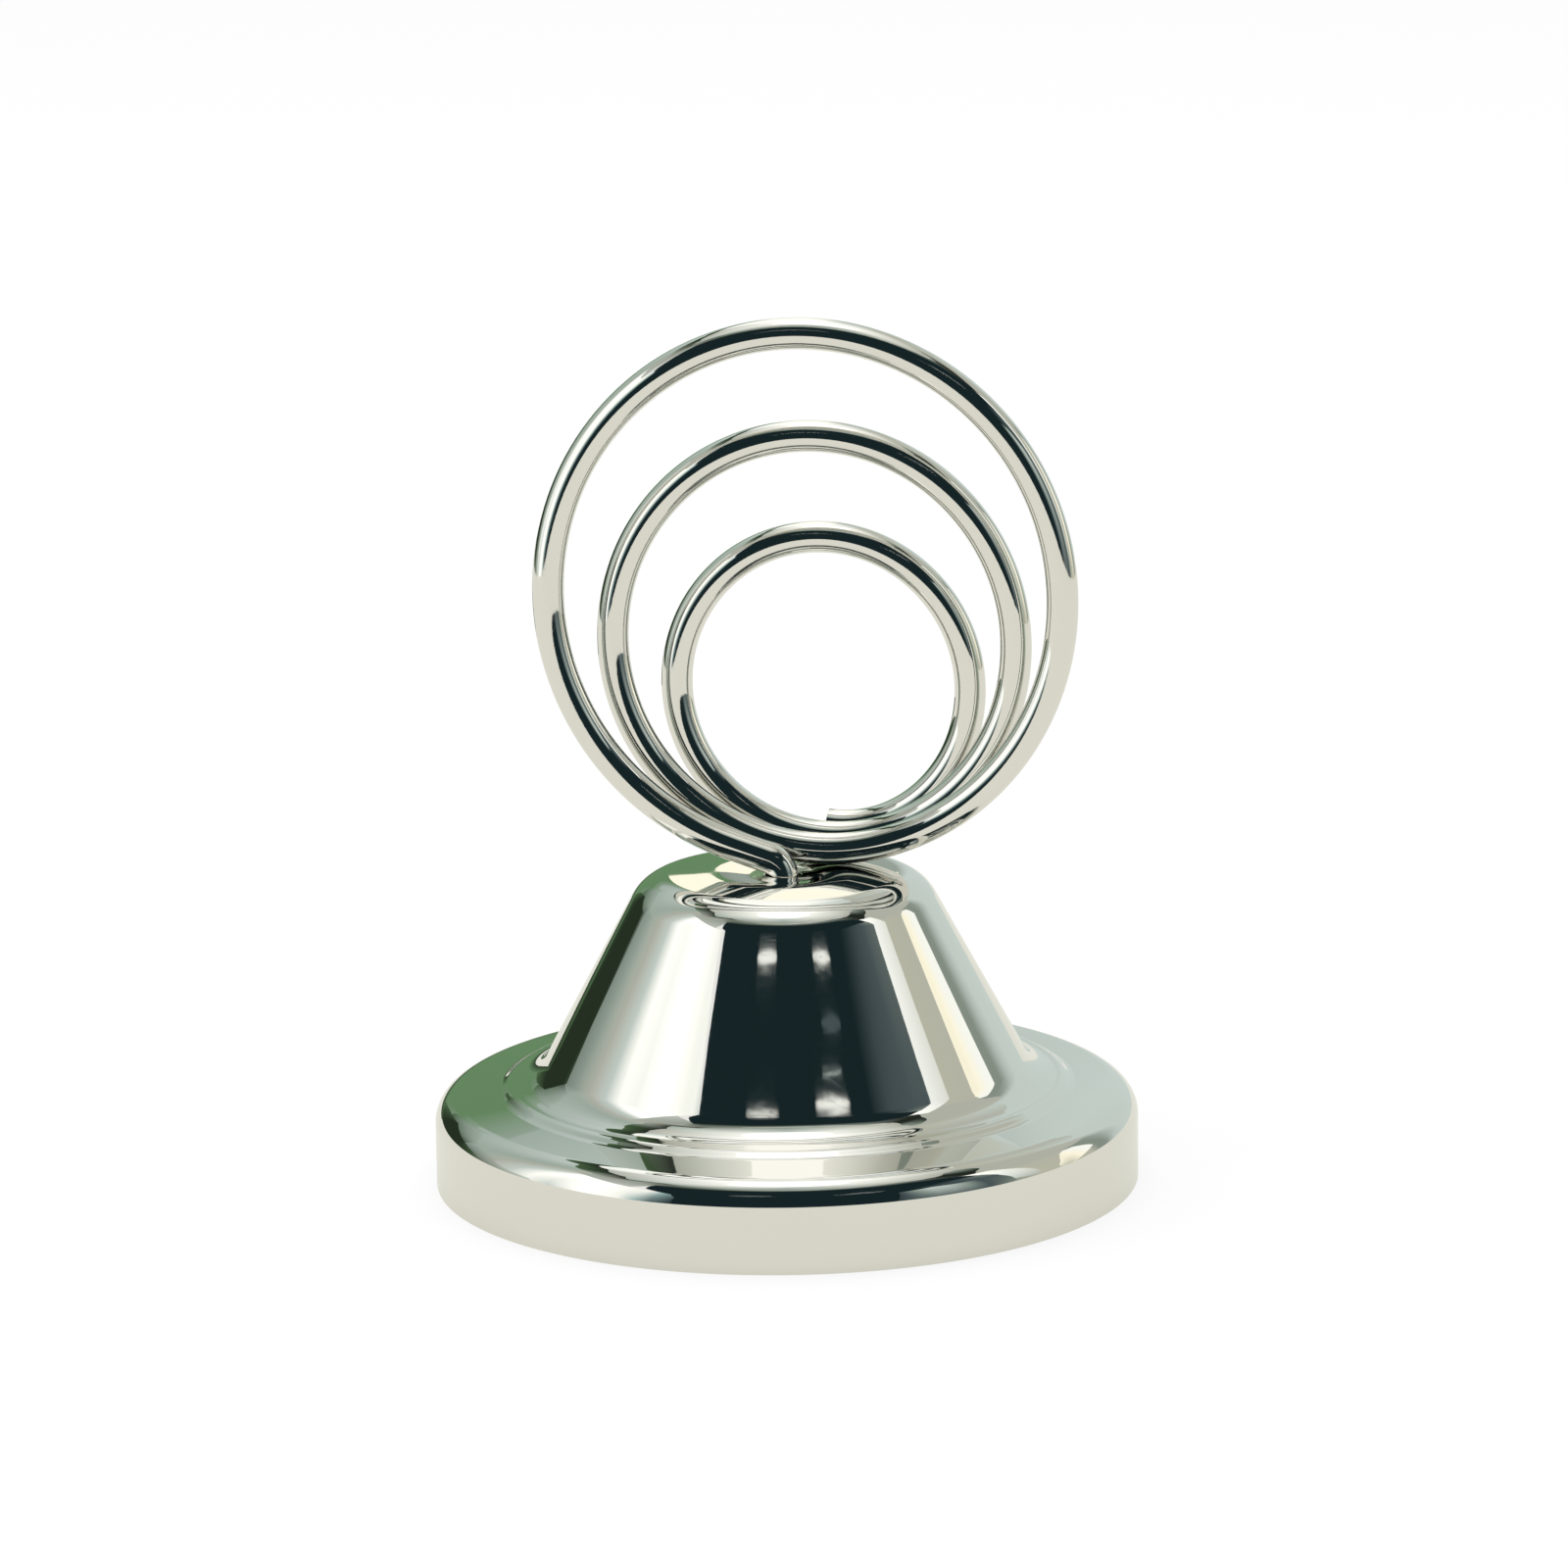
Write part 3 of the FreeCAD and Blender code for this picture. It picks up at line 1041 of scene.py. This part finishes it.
STUDIO_CARDS = (
    studio_card(
        "overhead_softbox",
        0.33,
        (-180.0, 80.0, 90.0, WHITE), (0.0, 80.0, 90.0, WHITE), (180.0, 80.0, 90.0, WHITE),
    ),
    studio_card(
        "overhead_softbox_border",
        0.332,
        (-180.0, 33.0, 80.5, SOFT_WHITE, WHITE), (-174.0, 33.0, 80.5, SOFT_WHITE, WHITE),
        (-168.0, 39.0, 80.5, SOFT_WHITE, WHITE), (-160.0, 46.0, 80.5, SOFT_WHITE, WHITE),
        (-152.0, 52.5, 80.5, DAYLIGHT_GREY, WHITE), (-144.0, 56.0, 80.5, STONE, WHITE),
        (-120.0, 61.0, 80.5, STONE, SOFT_WHITE), (-90.0, 61.0, 80.5, MIST_GREY, SOFT_WHITE),
        (-60.0, 65.0, 80.5, GREEN_GREY, SOFT_WHITE), (0.0, 65.5, 80.5, GREEN_GREY, DAYLIGHT_GREY),
        (60.0, 64.0, 80.5, STONE, SOFT_WHITE), (85.0, 62.0, 80.5, STONE, SOFT_WHITE),
        (105.0, 64.0, 80.5, STONE, SOFT_WHITE), (125.0, 61.0, 80.5, STONE, WHITE),
        (150.0, 57.0, 80.5, BEIGE, WHITE), (160.0, 51.0, 80.5, DAYLIGHT_GREY, WHITE),
        (168.0, 45.0, 80.5, DAYLIGHT_GREY, WHITE), (175.0, 36.0, 80.5, SOFT_WHITE, WHITE),
        (180.0, 33.0, 80.5, SOFT_WHITE, WHITE),
    ),
    studio_card(
        "overhead_frame",
        0.322,
        (-172.5, 32.4, 32.6, DEEP_GREEN), (-168.0, 35.0, 38.5, DEEP_GREEN, FRAME_BLACK),
        (-160.0, 41.0, 46.0, DEEP_GREEN, FRAME_BLACK), (-152.0, 48.0, 52.5, DEEP_GREEN, FRAME_BLACK),
        (-144.0, 51.0, 56.0, DEEP_GREEN, FRAME_BLACK), (-128.0, 53.5, 60.0, DEEP_GREEN, FRAME_BLACK),
        (-110.0, 56.0, 63.0, GREEN_GREY, FRAME_BLACK), (-90.0, 54.0, 61.0, STONE, GREEN_BLACK),
        (-75.0, 58.0, 66.0, STONE, GREEN_BLACK), (-58.0, 57.0, 66.0, GREEN_BLACK, GREEN_GREY),
        (-25.0, 60.0, 65.5, GREEN_BLACK, GREEN_GREY), (0.0, 60.0, 65.5, GREEN_BLACK, GREEN_GREY),
        (30.0, 59.0, 64.0, BLUE_BLACK, GREEN_GREY), (60.0, 57.0, 64.0, BLUE_BLACK, GREEN_GREY),
        (80.0, 48.0, 61.0, FRAME_BLACK), (90.0, 53.0, 62.0, FRAME_BLACK),
        (104.0, 56.0, 64.0, GREEN_BLACK, GREEN_GREY), (118.0, 60.0, 62.0, GREEN_GREY),
    ),
    studio_card(
        "front_rail_light",
        0.318,
        (-34.0, 64.6, 65.4, STONE), (-15.0, 64.2, 65.8, STONE), (15.0, 64.2, 65.8, DAYLIGHT_GREY),
        (26.0, 64.6, 65.4, STONE),
    ),
    studio_card(
        "cream_window_left",
        0.331,
        (-180.5, 17.0, 34.0, CREAM, SOFT_WHITE), (-176.5, 17.0, 34.0, CREAM, SOFT_WHITE),
    ),
    studio_card(
        "cream_window_right",
        0.331,
        (176.0, 17.0, 38.0, CREAM, SOFT_WHITE), (180.5, 17.0, 38.0, CREAM, SOFT_WHITE),
    ),
    studio_card(
        "window_head_left",
        0.3295,
        (-180.5, 28.0, 39.0, SOFT_WHITE), (-176.5, 28.0, 37.0, SOFT_WHITE),
        (-174.0, 25.0, 36.0, MIST_GREY, DAYLIGHT_GREY), (-171.0, 24.0, 36.0, MIST_GREY, DAYLIGHT_GREY),
        (-166.0, 24.0, 38.0, MIST_GREY, DAYLIGHT_GREY), (-160.0, 26.0, 42.0, MIST_GREY, DAYLIGHT_GREY),
    ),
    studio_card(
        "window_head_right",
        0.3295,
        (169.5, 27.0, 41.0, DAYLIGHT_GREY, STONE), (173.5, 27.5, 40.0, BEIGE),
        (178.0, 28.0, 39.5, SOFT_WHITE), (180.5, 28.0, 39.0, SOFT_WHITE),
    ),
    studio_card(
        "left_wall_high",
        0.35,
        (-180.0, 24.0, 40.0, GREEN_GREY), (-172.0, 24.0, 40.0, MIST_GREY, GREEN_GREY),
        (-160.0, 24.0, 47.0, MIST_GREY, DAYLIGHT_GREY), (-150.0, 25.0, 52.0, MIST_GREY, DAYLIGHT_GREY),
        (-120.0, 20.0, 60.0, MIST_GREY), (-106.0, 18.0, 60.0, STONE),
        (-90.0, 10.0, 62.0, SOFT_WHITE, GREEN_GREY), (-60.0, 10.0, 62.0, SOFT_WHITE, GREEN_GREY),
    ),
    studio_card(
        "left_wall_low",
        0.349,
        (-180.0, -3.0, 20.0, LEAF_GREEN), (-160.0, -3.0, 22.0, LEAF_GREEN),
        (-150.0, -3.0, 26.0, GREEN_BLACK, MIST_GREY), (-136.0, -3.0, 25.0, GREEN_BLACK, MIST_GREY),
        (-120.0, -3.0, 21.0, GREEN_BLACK, MIST_GREY), (-106.0, -3.0, 19.0, GREEN_GREY, STONE),
        (-88.0, -3.0, 11.0, MIST_GREY, SOFT_WHITE),
    ),
    studio_card(
        "left_green_haze",
        0.347,
        (-180.0, 19.0, 25.0, LEAF_GREEN, MIST_GREY), (-168.0, 19.5, 26.0, LEAF_GREEN, MIST_GREY),
        (-160.0, 21.0, 29.0, LEAF_GREEN, MIST_GREY), (-154.0, 15.0, 29.0, DEEP_GREEN, MIST_GREY),
        (-148.0, 15.0, 30.0, DEEP_GREEN, MIST_GREY), (-140.0, 13.0, 29.0, DEEP_GREEN, MIST_GREY),
        (-128.0, 10.0, 24.0, GREEN_BLACK, MIST_GREY),
    ),
    studio_card(
        "left_dark_flag",
        0.345,
        (-159.0, -3.0, 4.0, LEAF_GREEN, DEEP_GREEN), (-155.0, -3.0, 13.0, GREEN_BLACK, DEEP_GREEN),
        (-148.0, -3.0, 19.0, GREEN_BLACK), (-140.0, -3.0, 17.0, GREEN_BLACK),
        (-130.0, -3.0, 13.0, GREEN_BLACK), (-120.0, -3.0, 8.0, GREEN_BLACK, DEEP_GREEN),
        (-110.0, -3.0, 1.0, DEEP_GREEN, GREEN_GREY),
    ),
    studio_card(
        "left_low_bench",
        0.15,
        (-180.0, 0.2, 8.0, GREEN_BLACK, LEAF_GREEN), (-160.0, 0.2, 7.0, GREEN_BLACK, LEAF_GREEN),
        (-146.0, 0.2, 3.0, GREEN_BLACK, DEEP_GREEN),
    ),
    studio_card(
        "left_softbox",
        0.34,
        (-108.0, 12.0, 50.0, STONE), (-98.0, 6.0, 50.0, DAYLIGHT_GREY),
        (-89.0, 4.0, 49.0, SOFT_WHITE, WHITE), (-80.0, -3.0, 47.0, DAYLIGHT_GREY, WHITE),
        (-66.0, -3.0, 43.0, WHITE), (-54.0, -3.0, 39.5, SOFT_WHITE),
        (-49.0, -3.0, 37.5, SKY_GREY, SOFT_WHITE), (-43.0, -3.0, 36.0, BLUE_GREY, SKY_GREY),
        (-36.0, -3.0, 34.0, BLUE_BLACK, BLUE_GREY),
    ),
    studio_card(
        "front_flag",
        0.325,
        (-63.0, 58.0, 61.0, BLUE_BLACK), (-54.0, 43.0, 62.0, BLUE_BLACK), (-47.5, 38.0, 62.0, BLUE_BLACK),
        (-40.0, 33.0, 62.0, BLUE_BLACK), (-36.5, 22.0, 62.0, BLUE_BLACK), (-36.0, -3.0, 62.0, BLUE_BLACK),
        (33.0, -3.0, 61.0, BLUE_BLACK), (37.0, 30.0, 60.0, BLUE_BLACK), (50.0, 33.5, 60.0, BLUE_BLACK),
        (60.0, 31.0, 58.0, BLUE_BLACK), (75.0, 31.0, 50.0, BLUE_BLACK),
    ),
    studio_card(
        "front_flag_sheen",
        0.321,
        (44.0, 36.0, 40.0, BLUE_BLACK), (54.0, 33.0, 42.0, BLUE_GREY, BLUE_BLACK),
        (66.0, 31.0, 43.0, BLUE_GREY), (76.0, 30.0, 42.0, BLUE_GREY, GREEN_GREY),
    ),
    studio_card(
        "front_flag_fold",
        0.34,
        (32.0, -3.0, 36.0, BLUE_BLACK), (38.0, -3.0, 35.0, BLUE_GREY),
        (44.0, -3.0, 34.0, BLUE_GREY, MIST_GREY), (48.0, -3.0, 34.0, BLUE_GREY, DAYLIGHT_GREY),
        (54.0, -3.0, 34.0, BLUE_GREY, DAYLIGHT_GREY), (60.0, -3.0, 33.0, BLUE_GREY, MIST_GREY),
        (66.0, -3.0, 33.0, BLUE_GREY), (75.5, -3.0, 34.0, GREEN_GREY, BLUE_GREY),
    ),
    studio_card(
        "right_wall_low",
        0.35,
        (72.0, -3.0, 38.0, GREEN_GREY), (86.0, -3.0, 38.0, BEIGE), (112.0, -3.0, 38.0, BEIGE, STONE),
        (117.0, -3.0, 36.0, GREEN_GREY), (122.0, -3.0, 34.0, GREEN_GREY),
        (128.0, -3.0, 32.0, DAYLIGHT_GREY, GREEN_GREY), (136.0, -3.0, 38.0, DAYLIGHT_GREY),
        (160.0, -3.0, 38.0, DAYLIGHT_GREY), (170.0, -3.0, 30.0, DAYLIGHT_GREY),
        (176.5, -3.0, 22.0, DAYLIGHT_GREY, GREEN_GREY), (180.0, -3.0, 17.0, GREEN_GREY),
    ),
    studio_card(
        "right_wall_high",
        0.349,
        (72.0, 36.0, 62.0, STONE), (100.0, 36.0, 64.0, STONE), (122.0, 32.0, 62.0, STONE),
        (131.0, 31.0, 62.0, STONE, BEIGE), (136.0, 37.0, 61.0, DAYLIGHT_GREY, BEIGE),
        (160.0, 34.0, 52.0, STONE), (168.0, 29.0, 46.0, DAYLIGHT_GREY, STONE),
        (172.0, 26.5, 42.0, DAYLIGHT_GREY, STONE), (176.5, 23.0, 37.0, GREEN_GREY, BEIGE),
    ),
    studio_card(
        "right_strip_light",
        0.34,
        (75.5, 8.0, 49.0, DAYLIGHT_GREY, WHITE), (86.5, 2.0, 47.0, STONE, SOFT_WHITE),
    ),
    studio_card(
        "right_cream_light",
        0.34,
        (95.0, -3.0, 8.0, BEIGE, CREAM), (100.0, -3.0, 21.0, BEIGE, CREAM), (106.0, 4.0, 29.0, CREAM),
        (112.0, 10.0, 32.0, SOFT_WHITE), (116.5, 14.0, 30.0, SOFT_WHITE),
    ),
    small_lamp("front_lamp_left", -13.3, 43.2, (8.0, 0.16), SOFT_WHITE),
    small_lamp("front_lamp_right", 28.6, 42.05, (7.0, 0.13), SOFT_WHITE),
    small_lamp("front_lamp_left_low", -12.7, 40.25, (9.0, 0.06), SOFT_WHITE),
    small_lamp("front_lamp_right_low", 24.6, 39.6, (9.5, 0.15), SOFT_WHITE),
    small_lamp("front_lamp_right_mid", 26.3, 40.05, (6.0, 0.04), DAYLIGHT_GREY),
    small_lamp("front_lamp_right_glow", 29.4, 40.7, (6.5, 0.2), BLUE_GREY),
)


@dataclass
class Studio:
    """Pale floor, soft lamps, the world and the cards that the metal reflects."""

    camera_turn: float
    world_fill: float = 0.7
    floor_reach: float = 3.0
    floor_tone: float = 0.92
    # painted shade: as the metal mirrors it, the floor is a fixed warm grey, darker than the white floor, for
    # the shadow near the part
    shaded_floor_in_reflection: Colour = (0.79, 0.79, 0.7)
    shadow_keep: float = 0.18

    def card_material(self) -> bpy.types.Material:
        """Material that gives the light painted on a card."""
        material = bpy.data.materials.new("studio card light")
        material.use_nodes = True
        material.node_tree.nodes.clear()
        wiring = Wiring(material.node_tree)
        painted = wiring.add("Attribute", attribute_name="card_light")
        light = wiring.add("Emission")
        leave = wiring.add("OutputMaterial")
        wiring.join(painted.outputs["Color"], light.inputs["Color"])
        wiring.join(light.outputs["Emission"], leave.inputs["Surface"])
        return material

    def seen_directly(self, wiring: Wiring) -> bpy.types.NodeSocket:
        """Mask that is 1 for what the camera, a reflection or a pane sees.

        Args:
            wiring: Wiring of the tree that needs the mask.

        Returns:
            The mask's socket.
        """
        path = wiring.add("LightPath")
        mirrored = wiring.maths("MAXIMUM", path.outputs["Is Glossy Ray"], path.outputs["Is Transmission Ray"])
        return wiring.maths("MAXIMUM", path.outputs["Is Camera Ray"], mirrored)

    def build_world(self) -> None:
        """Makes the world white to look at and a plain soft light on the floor."""
        world = bpy.data.worlds.new("studio")
        bpy.context.scene.world = world
        world.use_nodes = True
        wiring = Wiring(world.node_tree)
        plain = world.node_tree.nodes["Background"]
        plain.inputs["Color"].default_value = (1.0, 1.0, 1.0, 1.0)
        seen = self.seen_directly(wiring)
        shown = wiring.maths("MULTIPLY", seen, 1.0 - self.world_fill)
        strength = wiring.maths("ADD", shown, self.world_fill)
        wiring.join(strength, plain.inputs["Strength"])

    def build_floor(self) -> None:
        """Lays the floor, white to look at, with part of the real shadow kept, and a painted shade of warm
        grey where the metal mirrors it.
        """
        reach = self.floor_reach
        mesh = bpy.data.meshes.new("studio_floor")
        mesh.from_pydata(
            [(-reach, -reach, 0.0), (reach, -reach, 0.0), (reach, reach, 0.0), (-reach, reach, 0.0)],
            [],
            [(0, 1, 2, 3)],
        )
        material = bpy.data.materials.new("pale floor")
        material.use_nodes = True
        material.node_tree.nodes.clear()
        wiring = Wiring(material.node_tree)
        matt = wiring.add("BsdfDiffuse")
        matt.inputs["Color"].default_value = (self.floor_tone,) * 3 + (1.0,)
        glow = wiring.add("Emission")
        path = wiring.add("LightPath")
        shown = wiring.add("Mix", data_type="RGBA")
        shown.inputs["A"].default_value = (1.0, 1.0, 1.0, 1.0)
        # painted shade: glossy rays see the floor in the fixed warm grey instead of white
        shown.inputs["B"].default_value = (*self.shaded_floor_in_reflection, 1.0)
        wiring.join(path.outputs["Is Glossy Ray"], shown.inputs["Factor"])
        wiring.join(shown.outputs["Result"], glow.inputs["Color"])
        lifted = wiring.add("MixShader")
        share = wiring.maths("MULTIPLY", self.seen_directly(wiring), 1.0 - self.shadow_keep)
        wiring.join(share, lifted.inputs["Fac"])
        wiring.join(matt.outputs["BSDF"], lifted.inputs[1])
        wiring.join(glow.outputs["Emission"], lifted.inputs[2])
        clear = wiring.add("BsdfTransparent")
        sided = wiring.add("MixShader")
        leave = wiring.add("OutputMaterial")
        wiring.join(wiring.add("NewGeometry").outputs["Backfacing"], sided.inputs["Fac"])
        wiring.join(lifted.outputs["Shader"], sided.inputs[1])
        wiring.join(clear.outputs["BSDF"], sided.inputs[2])
        wiring.join(sided.outputs["Shader"], leave.inputs["Surface"])
        mesh.materials.append(material)
        floor = bpy.data.objects.new("studio_floor", mesh)
        bpy.context.scene.collection.objects.link(floor)

    def build_lamp(self, name: str, place: Vector, width: float, power: float) -> None:
        """Hangs a soft lamp that points at the part.

        Args:
            name: Name of the lamp.
            place: Where it hangs.
            width: Width of its square face.
            power: Power in watts.
        """
        light = bpy.data.lights.new(name, "AREA")
        light.energy = power
        light.size = width
        lamp = bpy.data.objects.new(name, light)
        lamp.location = place
        lamp.rotation_mode = "QUATERNION"
        lamp.rotation_quaternion = (-place).to_track_quat("-Z", "Y")
        lamp.visible_glossy = False
        lamp.visible_camera = False
        bpy.context.scene.collection.objects.link(lamp)

    def build(self) -> None:
        """Sets up the whole studio."""
        self.build_world()
        self.build_floor()
        for name, place, width, power in LAMPS:
            self.build_lamp(name, Vector(place), width, power)
        material = self.card_material()
        for card in STUDIO_CARDS:
            card.build(self.camera_turn, material)
            LOG.info("studio card %s", card.name)


@dataclass
class PhotoCamera:
    """Camera at the photograph's viewing angle, fitted to the outline of the bell and the turns."""

    turn: float = math.radians(7.0)
    elevation: float = math.radians(13.5)
    distance: float = 450 * MM
    aim_height: float = 20 * MM
    roll: float = math.radians(0.842)
    picture_width: float = 1600.0
    focal_pixels: float = 7215.7
    aim_pixel: tuple[float, float] = (799.17, 889.43)
    sensor_width: float = 36.0

    def build(self) -> bpy.types.Object:
        """Makes the camera and gives it to the scene."""
        settings = bpy.data.cameras.new("photo_camera")
        settings.sensor_fit = "HORIZONTAL"
        settings.sensor_width = self.sensor_width
        settings.lens = self.focal_pixels / self.picture_width * self.sensor_width
        settings.clip_start = 10 * MM
        settings.clip_end = 20.0
        back = Vector(
            (
                math.sin(self.turn) * math.cos(self.elevation),
                -math.cos(self.turn) * math.cos(self.elevation),
                math.sin(self.elevation),
            )
        )
        centre = self.picture_width / 2
        pitch = math.atan2(self.aim_pixel[1] - centre, self.focal_pixels)
        yaw = math.atan2(centre - self.aim_pixel[0], self.focal_pixels)
        look = (-back).to_track_quat("-Z", "Y")
        rolled = look @ Quaternion((0.0, 0.0, 1.0), -self.roll)
        pitched = rolled @ Quaternion((1.0, 0.0, 0.0), pitch)
        camera = bpy.data.objects.new("photo_camera", settings)
        camera.location = Vector((0.0, 0.0, self.aim_height)) + back * self.distance
        camera.rotation_mode = "QUATERNION"
        camera.rotation_quaternion = pitched @ Quaternion((0.0, 1.0, 0.0), -yaw)
        bpy.context.scene.collection.objects.link(camera)
        bpy.context.scene.camera = camera
        return camera


def report(piece: bpy.types.Object) -> None:
    """Logs one finished piece."""
    finishes = [finish.name for finish in piece.data.materials]
    LOG.info("%s: %d faces, materials %s", piece.name, len(piece.data.polygons), finishes)


def main() -> None:
    """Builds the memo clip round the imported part, then the studio and the camera."""
    logging.basicConfig(level=logging.INFO, format="%(name)s: %(message)s")
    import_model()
    shell_low, shell_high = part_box("base_shell")
    effects = Effects.build()
    crown_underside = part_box("backing_washer")[1].z
    rim_radius = (shell_high.x - shell_low.x) / 2
    bell = BellBase(rim_radius=rim_radius, hole_level=crown_underside + BellBase.sheet)
    report(bell.build(BRIGHT_SHEET_NICKEL.build(effects), DULL_INSIDE_NICKEL.build(effects)))
    report(WireClip(crown_floor=bell.hole_level).build(WIRE_NICKEL.build(effects)))
    report(BackingWasher(crown_underside=crown_underside).build(WASHER_STEEL.build(effects)))
    camera = PhotoCamera()
    Studio(camera_turn=camera.turn).build()
    camera.build()
    bpy.context.scene.view_settings.view_transform = "Standard"


if __name__ == "__main__":
    main()
